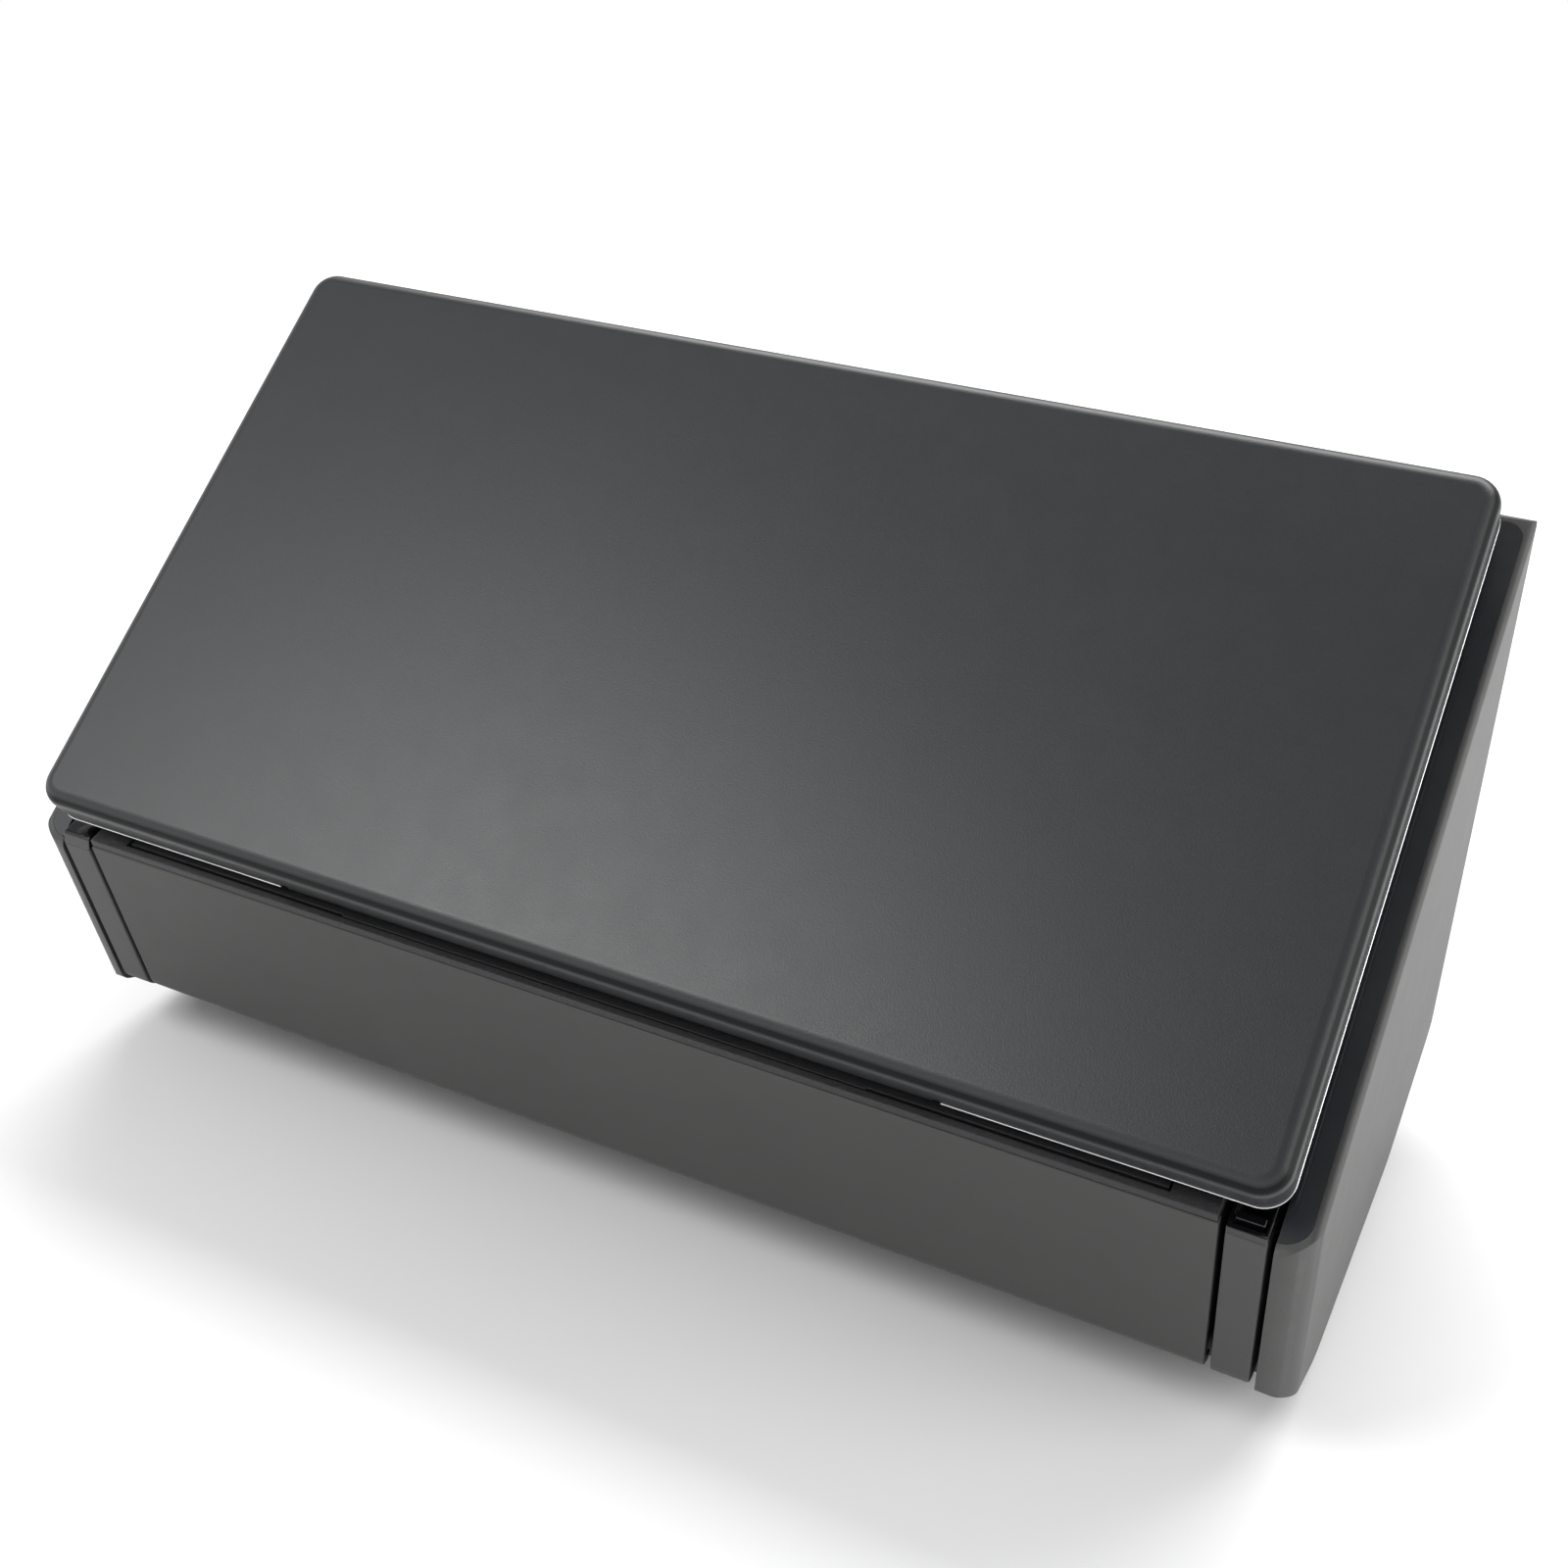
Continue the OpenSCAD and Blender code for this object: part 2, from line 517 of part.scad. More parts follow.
module main_board() color([0.1, 0.35, 0.2]) machine()
    translate([-56, 82, board_z]) cube([164, 62, 1.6]);
module data_port() color(steel) machine() difference() {
    translate([data_port_x[0], 131.5, board_z + 1.6])
        cube([data_port_x[1] - data_port_x[0], 16.4, 11]);
    translate([data_port_x[0] + 1.6, 138, board_z + 3.2]) cube([9.2, 20, 7.8]);
}
module power_inlet() color(dark) machine() difference() {
    translate([power_inlet_x[0], 131.5, board_z + 1.6]) cube([power_inlet_x[1] - power_inlet_x[0], 16.4, 11]);
    translate([89, 138, board_z + 7.1]) rotate([-90, 0, 0]) cylinder(r = 3.2, h = 20);
}

// ---- lid ----

module plan(half, v0, v1, r) for (x = [-half + r, half - r], y = [v0 + r, v1 - r])
    translate([x, y, 0]) children();
lid_edge_r = 3.6;
edge_notch = extension_w/2 + 0.4;
// Shallow tray turned over, with a softly rounded top edge
module lid_shell() color(charcoal) on_lid() difference() {
    hull() plan(lid_half, 0, lid_l, lid_r) rotate_extrude($fn = 64) polygon(concat(
        [[0, 0.9], [lid_r, 0.9]],
        [for (a = [0:15:90]) [lid_r - lid_edge_r*(1 - cos(a)), lid_h - lid_edge_r*(1 - sin(a))]],
        [[0, lid_h]]));
    hull() plan(lid_half - lid_wall, lid_wall, lid_l - lid_wall, lid_r - lid_wall)
        translate([0, 0, -1]) cylinder(r = lid_r - lid_wall, h = lid_h - 1);
    lid_block([-recess_half, recess_half], [lid_l - 4, lid_l + 4], [-1, 2.6]);
    both_sides() lid_block([ear_u[0] - 0.6, ear_u[1] + 0.6], [lid_l - 4, lid_l + 4], [-1, ear_slot]);
    lid_block([-edge_notch, edge_notch], [-1, 3], [-1, 2.2]);
}

// Bright trim along the lid's lower edge
module lid_trim() color([0.85, 0.85, 0.87]) on_lid() difference() {
    hull() plan(lid_half + 0.15, -0.15, lid_l + 0.15, lid_r) cylinder(r = lid_r, h = 0.9);
    hull() plan(lid_half - lid_wall, lid_wall, lid_l - lid_wall, lid_r - lid_wall)
        translate([0, 0, -1]) cylinder(r = lid_r - lid_wall, h = 4);
    lid_block([-recess_half, recess_half], [lid_l - 4, lid_l + 4], [-1, 4]);
    lid_block([-edge_notch, edge_notch], [-4, 3], [-1, 4]);
}

panel_half = lid_half - lid_wall - 0.2;
panel_rear = 133.4;
rail_in = extension_w/2 - 1;
// Paper chute face inside the lid, with the guides' slots, the extension's rails and
// the hinge bosses
module lid_inner_panel() color(dark) on_lid() difference() {
    union() {
        lid_slab(-panel_half, panel_half) polygon([[lid_wall + 7.4, pocket_n], [77, pocket_n],
            [85, panel_n], [panel_rear, panel_n], [panel_rear, panel_n + 1.6], [84.4, panel_n + 1.6],
            [76.4, pocket_n + 1.6], [lid_wall + 7.4, pocket_n + 1.6]]);
        lid_block([-panel_half + 8, panel_half - 8], [2, 9.4], [pocket_n, pocket_n + 1.6]);
        both_sides() lid_block([rail_in, rail_in + 5], [2, 76], [0.1, pocket_n]);
        both_sides() for (u = [[109, 112.7], [117.3, 120.6]])
            translate([u[0], 0, 0]) lid_slab(0, u[1] - u[0]) union() {
                translate([hinge_v, hinge_n]) circle(3);
                polygon([[132, lid_h - 2], [132, panel_n], [hinge_v - 1, hinge_n - 2.8],
                         [139.4, lid_h - 2.7], [138.6, lid_h - 2]]);
            }
        translate([0, rack_v, panel_n + 1.6]) cylinder(r = 2.5, h = lid_h - 2 - panel_n - 1.6);
    }
    both_sides() lid_block([rail_in - 1, rail_in + 1.4], [-1, 80], [0.7, 2.1]);
    both_sides() lid_block([ear_u[0] - 0.6, ear_u[1] + 0.6], [119, 150], [-1, panel_n + 3]);
    translate([-half_w, hinge_v, hinge_n]) rotate([0, 90, 0]) cylinder(r = pin_r, h = body_w);
    mirrored(-1) lid_block([36, 110], [rack_v + 7.9, rack_v + 11.1], [0, 8]);
    lid_block([36, 110], [rack_v - 11.1, rack_v - 7.9], [0, 8]);
}

module lid_hinge_pins() color(steel) on_lid() both_sides()
    translate([109, hinge_v, hinge_n]) rotate([0, 90, 0]) cylinder(r = pin_r, h = 11.6);

// Flat plate that slides out of the lid's front edge, on a tongue at each side
module chute_extension() color(charcoal) on_lid() {
    lid_block([-rail_in + 0.3, rail_in - 0.3], [0.1, 72], [0.1, 2]);
    lid_block([-extension_w/2 + 0.1, extension_w/2 - 0.1], [3.4, 72], [1, 1.8]);
}

rack_n = [panel_n + 1.75, lid_h - 2.2];
pinion_r = gear_m*pinion_teeth/2;
// Rack teeth point towards -v from the pitch line at v = 0; a gap lies at u = 0
module rack_2d(u0, u1) {
    pitch = PI*gear_m;
    polygon(concat([[u1, 6], [u0, 6], [u0, 1.2]], [for (k = [ceil(u0/pitch) + 1:floor(u1/pitch) - 2])
        let (c = (k + 0.5)*pitch, h = (pitch/2 - lash)/2)
        each [[c - h - 0.44, 1.2], [c - h + 0.33, -0.9], [c + h - 0.33, -0.9], [c + h + 0.44, 1.2]]],
        [[u1, 1.2]]));
}
// Side guide: fence and foot on the chute face, stem through the slot, rack behind it
module paper_guide(side) color(dark) on_lid() {
    mirrored(side) {
        lid_block([107.6, 109.4], [90, 128], [-0.5, panel_n - 0.2]);
        lid_block([94, 109.4], [rack_v - 12, rack_v + 12], [panel_n - 1.4, panel_n - 0.2]);
    }
    flip = side < 0 ? 1 : -1;
    mirrored(side) lid_block([104.5, 109.4], [rack_v + flip*9.5 - 1.4, rack_v + flip*9.5 + 1.4],
        [panel_n - 0.3, rack_n[1]]);
    translate([0, rack_v, rack_n[0]]) rotate(side < 0 ? 0 : 180)
        linear_extrude(rack_n[1] - rack_n[0]) translate([0, pinion_r]) rack_2d(-109.4, 9);
}
module guide_left() paper_guide(-1);
module guide_right() paper_guide(1);
module guide_pinion() color(natural) on_lid() translate([0, rack_v, rack_n[0]]) rotate(90)
    linear_extrude(rack_n[1] - rack_n[0]) gear_2d(pinion_teeth, 2.55);

// ---- stacker ----

skin_top = 2.6;
pivot_s = 45.5;
pivot_d = 5.2;
// Smooth outer skin, curved under at its lower end
module stacker_skin() color(mid_grey) on_face() {
    face_block([-stacker_half, stacker_half], [skin_top, pivot_s], [0, 2]);
    translate([-stacker_half, 0, 0]) rotate([90, 0, 90]) linear_extrude(stacker_w)
        translate([-pivot_s, -pivot_d]) intersection() {
            difference() {
                circle(strip_end_r - 0.1);
                circle(strip_end_r - 2.1);
            }
            polygon([[0, 0], [0, 8], [-8, 8], [-8, 0]]);
        }
}

cavity_half = 118;
stage_one_half = 117.6;
stage_two_half = 112;
// Textured frame: side rails, the face that carries the paper, and the hinge end
module stacker_frame() color(dark) on_face() difference() {
    union() {
        face_block([-stacker_half + 0.3, stacker_half - 0.3], [0.6, pivot_s], [2, 10.3]);
        face_block([-stacker_half + 0.3, stacker_half - 0.3], [0.6, skin_top - 0.12], [0.25, 3]);
        translate([-stacker_half + 0.3, -pivot_s, -pivot_d]) rotate([0, 90, 0])
            cylinder(r = 3.2, h = stacker_w - 0.6);
        both_sides() translate([stacker_half - 6, -pivot_s, -pivot_d]) rotate([0, 90, 0])
            cylinder(r = 2, h = 9.4);
        translate([-stacker_half + 0.3, 0, 0]) rotate([90, 0, 90]) linear_extrude(stacker_w - 0.6)
            translate([-pivot_s, -pivot_d]) intersection() {
                circle(5.1);
                polygon([[1, 0], [1, -8], [-8, -8], [-8, 0]]);
            }
    }
    face_block([-cavity_half, cavity_half], [-1, 42], [2, 8.7]);
}

module stage(half, s, d, lip) color(dark) on_face() {
    face_block([-half, half], s, d);
    face_block([-lip, lip], [s[0], s[0] + 2], [d[0] - 0.4, d[1]]);
}
module stacker_stage_one() stage(stage_one_half, [1.0, 41], [2.9, 5.2], 60);
module stacker_stage_two() stage(stage_two_half, [4.4, 40], [6.1, 8.2], 40);

// ---- nodes ----

base_tray();
foot_pads();
housing_screws();
side_cover(-1);  // side_cover_left
side_cover(1);  // side_cover_right
side_inlay(-1);  // side_inlay_left
side_inlay(1);  // side_inlay_right
rear_cover();
side_frame(-1);  // left_frame
side_frame(1);  // right_frame
top_deck(-1);  // top_deck_left
top_deck(1);  // top_deck_right
front_strip(-1);  // front_strip_left
front_strip(1);  // front_strip_right
strip_cap_left();
strip_cap_right();
release_tab();
front_upper_cover();
upper_guide();
lower_guide();
lower_scan_unit();
upper_scan_unit();
lower_glass();
upper_glass();
shaft_bushes();
pick_shaft();
pick_tyres();
pick_gear();
feed_shaft();
feed_tyres();
feed_gear();
eject_shaft();
eject_tyres();
eject_gear();
pick_idler_gear();
eject_idler_gear();
reduction_gear();
drive_motor();
motor_pinion();
brake_shaft();
brake_tyre();
feed_pinch_roller();
eject_pinch_roller();
paper_flag();
main_board();
data_port();
power_inlet();
scan_button();
lid_shell();
lid_trim();
lid_inner_panel();
lid_hinge_pins();
chute_extension();
guide_left();
guide_right();
guide_pinion();
stacker_skin();
stacker_frame();
stacker_stage_one();
stacker_stage_two();
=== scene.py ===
import json
import math

import bmesh
import bpy
from mathutils import Matrix, Vector


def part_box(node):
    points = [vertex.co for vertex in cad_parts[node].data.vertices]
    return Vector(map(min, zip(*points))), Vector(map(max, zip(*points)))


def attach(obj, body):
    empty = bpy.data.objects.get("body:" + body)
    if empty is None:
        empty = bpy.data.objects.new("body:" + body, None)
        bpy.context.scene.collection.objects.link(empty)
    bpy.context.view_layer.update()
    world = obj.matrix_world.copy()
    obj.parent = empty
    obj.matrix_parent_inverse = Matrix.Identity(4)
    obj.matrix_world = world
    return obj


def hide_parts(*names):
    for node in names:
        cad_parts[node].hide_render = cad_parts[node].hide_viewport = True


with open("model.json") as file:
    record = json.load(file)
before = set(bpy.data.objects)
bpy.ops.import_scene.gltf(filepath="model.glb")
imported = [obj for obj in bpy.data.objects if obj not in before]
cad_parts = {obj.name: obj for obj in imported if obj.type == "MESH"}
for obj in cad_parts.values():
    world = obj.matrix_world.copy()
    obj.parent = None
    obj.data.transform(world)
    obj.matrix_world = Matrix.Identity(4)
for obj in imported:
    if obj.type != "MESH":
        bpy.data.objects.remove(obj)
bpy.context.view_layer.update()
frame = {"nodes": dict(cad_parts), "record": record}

MM = 0.001
nodes = frame["nodes"]
joints = {joint["name"]: joint for joint in frame["record"]["behaviour"]["joints"]}

# ---------------------------------------------------------------- frames of the casing

# The lid frame lies on the sloping top: u across, v up the slope, n outward.
down_slope = Vector(joints["extension_slide"]["axis"])
SLOPE = math.atan2(-down_slope.z, -down_slope.y)
TRIM_PROUD = 0.15          # the trim stands this far out of the lid's sides
TRIM_H = 0.9
trim_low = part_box("lid_trim")[0] / MM
seat = Vector((0, trim_low.y + TRIM_PROUD * math.cos(SLOPE) + TRIM_H * math.sin(SLOPE),
               trim_low.z + TRIM_PROUD * math.sin(SLOPE)))
LID = Matrix.Translation(seat * MM) @ Matrix.Rotation(SLOPE, 4, "X") @ Matrix.Scale(MM, 4)

# The face frame lies on the front: u across, up the face, outward.
up_face = Vector(joints["stage_one_slide"]["axis"])
FACE_TURN = math.atan2(up_face.z, up_face.y)
pivot = Vector(joints["stacker_hinge"]["pos_m"])
PIVOT_S, PIVOT_D = 45.5, 5.2
FACE = (Matrix.Translation(pivot) @ Matrix.Rotation(FACE_TURN, 4, "X") @ Matrix.Scale(MM, 4)
        @ Matrix.Translation((0, PIVOT_S, PIVOT_D)))
lid_normal = (0, -math.sin(SLOPE), math.cos(SLOPE))


# ---------------------------------------------------------------- camera, lights and sky

CAMERA_AT = (0.1697, seat.y * MM - 0.27424, 0.2748)
CAMERA_TURN_DEG = (62.85, -2.72, 26.78)
LENS_MM = 44.7
SENSOR_MM = 36
LENS_SHIFT = (0.002, 0.007)


def look():
    data = bpy.data.cameras.new("camera")
    data.lens = LENS_MM
    data.sensor_width = SENSOR_MM
    data.shift_x, data.shift_y = LENS_SHIFT
    data.clip_start = 0.01
    camera = bpy.data.objects.new("camera", data)
    camera.location = CAMERA_AT
    camera.rotation_euler = [math.radians(a) for a in CAMERA_TURN_DEG]
    bpy.context.collection.objects.link(camera)
    bpy.context.scene.camera = camera


def soft_light(name, location, target, size, watts):
    data = bpy.data.lights.new(name, "AREA")
    data.shape = "RECTANGLE"
    data.size, data.size_y = size
    data.energy = watts
    lamp = bpy.data.objects.new(name, data)
    lamp.location = location
    lamp.rotation_euler = (Vector(target) - Vector(location)).to_track_quat("-Z", "Y").to_euler()
    bpy.context.collection.objects.link(lamp)


look()
AIM = (0, 0, 0.08)
soft_light("key", (-0.58, -0.7, 0.95), AIM, (0.55, 0.5), 7.5)
soft_light("right", (1.25, 0.1, 0.45), (0.1, 0, 0.06), (0.7, 0.9), 7.5)
soft_light("back", (0.0, 1.2, 1.6), (0, 0.3, 0), (2.6, 1.2), 48)

# The sky is white at the horizon and darker overhead: (height, grey level).
SKY = ((0.1, 1.0), (0.75, 0.3))
world = bpy.data.worlds.new("studio")
bpy.context.scene.world = world
world.use_nodes = True
sky = world.node_tree
direction = sky.nodes.new("ShaderNodeTexCoord").outputs["Generated"]
height = sky.nodes.new("ShaderNodeSeparateXYZ")
sky.links.new(direction, height.inputs[0])
fade = sky.nodes.new("ShaderNodeValToRGB")
sky.links.new(height.outputs["Z"], fade.inputs["Fac"])
for stop, (place, level) in zip(fade.color_ramp.elements, SKY):
    stop.position = place
    stop.color = (level, level, level, 1)
sky.links.new(fade.outputs["Color"], sky.nodes["Background"].inputs["Color"])
sky.nodes["Background"].inputs["Strength"].default_value = 1.0
bpy.context.scene.view_settings.view_transform = "Standard"


# ---------------------------------------------------------------- materials

class Shader:
    """A node material with one principled shader and short calls to build its network."""

    def __init__(self, name, **values):
        self.material = bpy.data.materials.new(name)
        self.material.use_nodes = True
        self.tree = self.material.node_tree
        self.shader = self.tree.nodes["Principled BSDF"]
        for socket, value in values.items():
            self.shader.inputs[socket.replace("_", " ")].default_value = value
        self.place = self.node("ShaderNodeTexCoord").outputs["Object"]

    def node(self, kind, links=None, **settings):
        made = self.tree.nodes.new(kind)
        for key, value in settings.items():
            setattr(made, key, value)
        for socket, source in (links or {}).items():
            if hasattr(source, "is_output"):
                self.tree.links.new(source, made.inputs[socket])
            else:
                made.inputs[socket].default_value = source
        return made

    def noise(self, scale, detail, rough=0.5, place=None):
        """Noise whose waves are about 1/scale metres long."""
        links = {"Vector": place or self.place, "Scale": scale, "Detail": detail, "Roughness": rough}
        return self.node("ShaderNodeTexNoise", links).outputs["Fac"]

    def ramp(self, source, stops):
        ramp = self.node("ShaderNodeValToRGB", {"Fac": source})
        for i, (place, colour) in enumerate(stops):
            stop = ramp.color_ramp.elements[i] if i < 2 else ramp.color_ramp.elements.new(place)
            stop.position = place
            stop.color = (*colour, 1) if len(colour) == 3 else colour
        return ramp.outputs["Color"]

    def remap(self, source, low, high, from_low=0.3, from_high=0.7):
        links = {"Value": source, "From Min": from_low, "From Max": from_high,
                 "To Min": low, "To Max": high}
        return self.node("ShaderNodeMapRange", links).outputs["Result"]

    def mix(self, factor, a, b, mode="MIX"):
        mixer = self.node("ShaderNodeMix", data_type="RGBA", blend_type=mode)
        for socket, source in ((mixer.inputs[0], factor), (mixer.inputs[6], a), (mixer.inputs[7], b)):
            if hasattr(source, "is_output"):
                self.tree.links.new(source, socket)
            else:
                socket.default_value = source
        return mixer.outputs[2]

    def math(self, operation, *values):
        return self.node("ShaderNodeMath", dict(enumerate(values)), operation=operation).outputs[0]

    def grey(self, level):
        return self.node("ShaderNodeCombineColor", {0: level, 1: level, 2: level}).outputs[0]

    def set(self, **sources):
        for socket, source in sources.items():
            self.tree.links.new(source, self.shader.inputs[socket.replace("_", " ")])

    def bump(self, height, distance, strength):
        links = {"Height": height, "Distance": distance, "Strength": strength}
        return self.node("ShaderNodeBump", links).outputs["Normal"]


def shade(colour, k):
    return tuple(c * k for c in colour)


FLOW_SCALE = 30            # waves per metre of the faint flow variation
HANDLING_SCALE = 140       # of the slight changes in gloss
RUB_SCALE = 300            # of the broken rubbing along edges
BLACK, WHITE = (0, 0, 0), (1, 1, 1)


def moulded(name, colour, rough, grain_mm, depth_mm, mottle=0.5, painted_shade_valley=False):
    """Moulded plastic: spark-eroded grain, faint flow variation and paler rubbed edges.
    When asked, the soft shoulder round the lid gets painted shade: darker colour and weaker
    reflection than its flats, standing in for the darker reflection seen there."""
    s = Shader(name)
    grain = s.noise(1 / (grain_mm * MM), 2, 0.6)
    flow = s.noise(FLOW_SCALE, 3)
    base = s.ramp(flow, [(0.3, shade(colour, 0.96)), (0.7, shade(colour, 1.04))])
    speck = s.remap(grain, 1 - 0.3 * mottle, 1 + 0.3 * mottle)
    base = s.mix(1.0, base, s.grey(speck), "MULTIPLY")
    edge = s.remap(s.node("ShaderNodeNewGeometry").outputs["Pointiness"], 0, 0.5, 0.54, 0.64)
    rubbed = s.math("MULTIPLY", edge, s.remap(s.noise(RUB_SCALE, 3), 0.1, 1))
    base = s.mix(rubbed, base, (*shade(colour, 2.0), 1))
    handled = s.noise(HANDLING_SCALE, 5, 0.6)
    s.set(Roughness=s.remap(handled, rough - 0.015, rough + 0.015),
          Normal=s.bump(grain, depth_mm * MM, 0.9))
    if painted_shade_valley:
        # Painted shade: the band of the lid's shoulder, picked by how far its normal tilts from the
        # lid's top, is darkened in colour and in reflection.
        normal = s.node("ShaderNodeTexCoord").outputs["Normal"]
        facing = s.node("ShaderNodeVectorMath", {0: normal, 1: lid_normal},
                        operation="DOT_PRODUCT").outputs["Value"]
        shoulder = s.ramp(facing, [(0.3, BLACK), (0.5, WHITE), (0.72, WHITE), (0.88, BLACK)])
        base = s.mix(shoulder, base, (*shade(colour, 0.35), 1))
        s.set(Specular_IOR_Level=s.math("MULTIPLY_ADD", shoulder, -0.4, 0.5))
    s.set(Base_Color=base)
    return s.material


def glossy(name, colour, rough):
    """Smooth glossy plastic with faint waviness and handling marks."""
    s = Shader(name, Coat_Weight=0.4, Coat_Roughness=0.05)
    wave = s.noise(60, 2)
    smear = s.noise(35, 5, 0.65)
    s.set(Base_Color=s.ramp(wave, [(0.35, shade(colour, 0.85)), (0.65, shade(colour, 1.15))]),
          Roughness=s.remap(smear, rough * 0.7, rough * 1.9), Normal=s.bump(wave, 0.05 * MM, 0.25))
    return s.material


DRAWN = (40, 4000, 4000)   # waves per metre along and across the drawing lines


def metal(name, colour, rough):
    """Drawn or turned steel with fine lines along X."""
    s = Shader(name, Metallic=1.0)
    place = s.node("ShaderNodeMapping", {"Vector": s.place, "Scale": DRAWN}).outputs["Vector"]
    lines = s.noise(1, 4, 0.6, place)
    stain = s.noise(90, 3)
    s.set(Base_Color=s.ramp(stain, [(0.3, shade(colour, 0.86)), (0.7, colour)]),
          Roughness=s.remap(lines, rough - 0.08, rough + 0.12), Normal=s.bump(lines, 0.02 * MM, 0.4))
    return s.material


def rubber(name, colour):
    """Rubber tyre or foot: matte, dusty, finely ground."""
    s = Shader(name, Sheen_Weight=0.15, Sheen_Roughness=0.5)
    grind = s.noise(2500, 2)
    dust = s.noise(120, 4, 0.6)
    s.set(Base_Color=s.ramp(dust, [(0.35, shade(colour, 0.85)), (0.75, shade(colour, 1.35))]),
          Roughness=s.remap(grind, 0.68, 0.85), Normal=s.bump(grind, 0.04 * MM, 0.8))
    return s.material


def clear_glass(name):
    """Glass plate with a little dust."""
    s = Shader(name, Transmission_Weight=0.9, IOR=1.5, Alpha=0.5)
    dust = s.noise(220, 4)
    s.set(Base_Color=s.ramp(dust, [(0.4, (0.78, 0.86, 0.88)), (0.8, (0.86, 0.9, 0.9))]),
          Roughness=s.remap(dust, 0.02, 0.08))
    return s.material


def circuit_board(name):
    """Solder mask over fine square tracks."""
    s = Shader(name, Coat_Weight=0.5, Coat_Roughness=0.15)
    cells = s.node("ShaderNodeTexVoronoi", {"Vector": s.place, "Scale": 260},
                   distance="CHEBYCHEV").outputs["Distance"]
    track = s.remap(cells, 0, 1, 0.42, 0.46)
    mask = s.noise(80, 3)
    plain = s.ramp(mask, [(0.3, (0.006, 0.05, 0.022)), (0.7, (0.01, 0.075, 0.034))])
    s.set(Base_Color=s.mix(track, plain, (0.02, 0.13, 0.05, 1)), Roughness=s.remap(mask, 0.3, 0.42),
          Normal=s.bump(track, 0.03 * MM, 0.5))
    return s.material


casing = moulded("casing", (0.045, 0.046, 0.044), 0.5, 0.3, 0.03)
lid_skin = moulded("lid_skin", (0.0185, 0.0198, 0.0216), 0.37, 0.3, 0.035, painted_shade_valley=True)
panel_skin = moulded("panel_skin", (0.04, 0.041, 0.039), 0.6, 0.18, 0.012, mottle=0.2)
strip_skin = moulded("strip_skin", (0.042, 0.043, 0.042), 0.55, 0.18, 0.012, mottle=0.2)
coarse = moulded("coarse_frame", (0.02, 0.02, 0.022), 0.55, 0.8, 0.14, mottle=0.9)
inner = moulded("inner_plastic", (0.012, 0.012, 0.013), 0.5, 0.3, 0.03)
underside = moulded("underside", (0.02, 0.02, 0.021), 0.58, 0.5, 0.06)
inlay_skin = glossy("inlay_skin", (0.004, 0.006, 0.0095), 0.3)
gloss_black = glossy("gloss_black", (0.004, 0.004, 0.005), 0.08)
silver = metal("silver_trim", (0.86, 0.86, 0.88), 0.16)
steel = metal("drawn_steel", (0.56, 0.56, 0.58), 0.28)
tyre = rubber("grey_tyre", (0.12, 0.12, 0.125))
foot = rubber("foot_rubber", (0.022, 0.022, 0.022))
acetal = moulded("acetal", (0.62, 0.6, 0.55), 0.4, 0.3, 0.01, mottle=0.2)
glass = clear_glass("scan_glass")
board = circuit_board("board")
button_skin = glossy("button_skin", (0.05, 0.12, 0.42), 0.25)


# ---------------------------------------------------------------- mesh building

SHARP_DEG = 32             # edges that turn more than this stay sharp
CORNER_STEPS = 10          # facets of a rounded corner


def smooth(mesh):
    mesh.shade_smooth()
    mesh.set_sharp_from_angle(angle=math.radians(SHARP_DEG))


def build(name, verts, faces, matrix, material):
    """A piece from vertices in millimetres of one of the frames."""
    mesh = bpy.data.meshes.new(name)
    mesh.from_pydata([matrix @ Vector(v) for v in verts], [], faces)
    bm = bmesh.new()
    bm.from_mesh(mesh)
    bmesh.ops.recalc_face_normals(bm, faces=bm.faces)
    bm.to_mesh(mesh)
    bm.free()
    piece = bpy.data.objects.new(name, mesh)
    bpy.context.collection.objects.link(piece)
    mesh.materials.append(material)
    smooth(mesh)
    return piece


def loft(name, rings, matrix, material):
    """Skin over rings of equal length, closed by a face at each end."""
    n = len(rings[0])
    verts = [v for ring in rings for v in ring]
    faces = [tuple(range(n)), tuple(range(n * (len(rings) - 1), n * len(rings)))]
    for k in range(len(rings) - 1):
        for i in range(n):
            j = (i + 1) % n
            faces.append((k * n + i, k * n + j, (k + 1) * n + j, (k + 1) * n + i))
    return build(name, verts, faces, matrix, material)


def round_box(half, length, r, inset):
    """Plan of a rounded rectangle drawn in by inset, anticlockwise."""
    r = max(r - inset, 0.05)
    x, low, high = half - inset - r, inset + r, length - inset - r
    ring = []
    for centre, start in (((x, low), -90), ((x, high), 0), ((-x, high), 90), ((-x, low), 180)):
        for i in range(CORNER_STEPS + 1):
            t = math.radians(start + 90 * i / CORNER_STEPS)
            ring.append((centre[0] + r * math.cos(t), centre[1] + r * math.sin(t)))
    return ring


def arc(a, b, c, r, steps):
    """Points of the arc of radius r that rounds the corner b between a and c."""
    a, b, c = Vector(a), Vector(b), Vector(c)
    if r <= 0:
        return [tuple(b)]
    u, w = (a - b).normalized(), (c - b).normalized()
    half = u.angle(w) / 2
    middle = b + (u + w).normalized() * r / math.sin(half)
    p, q = b + u * r / math.tan(half) - middle, b + w * r / math.tan(half) - middle
    start = math.atan2(p.y, p.x)
    sweep = (math.atan2(q.y, q.x) - start + 3 * math.pi) % (2 * math.pi) - math.pi
    return [(middle.x + r * math.cos(start + sweep * i / steps),
             middle.y + r * math.sin(start + sweep * i / steps)) for i in range(steps + 1)]


def rounded(corners, steps=CORNER_STEPS):
    """Outline from corners, each a point and its radius."""
    outline = []
    for i, (point, r) in enumerate(corners):
        before, after = corners[i - 1][0], corners[(i + 1) % len(corners)][0]
        outline += arc(before, point, after, r, steps)
    return outline


def prism(outline, low, high, place, matrix):
    """Solid carried from low to high; place(p, q, h) puts the coordinates in the frame's order."""
    return loft("prism", [[place(*p, h) for p in outline] for h in (low, high)], matrix, inner)


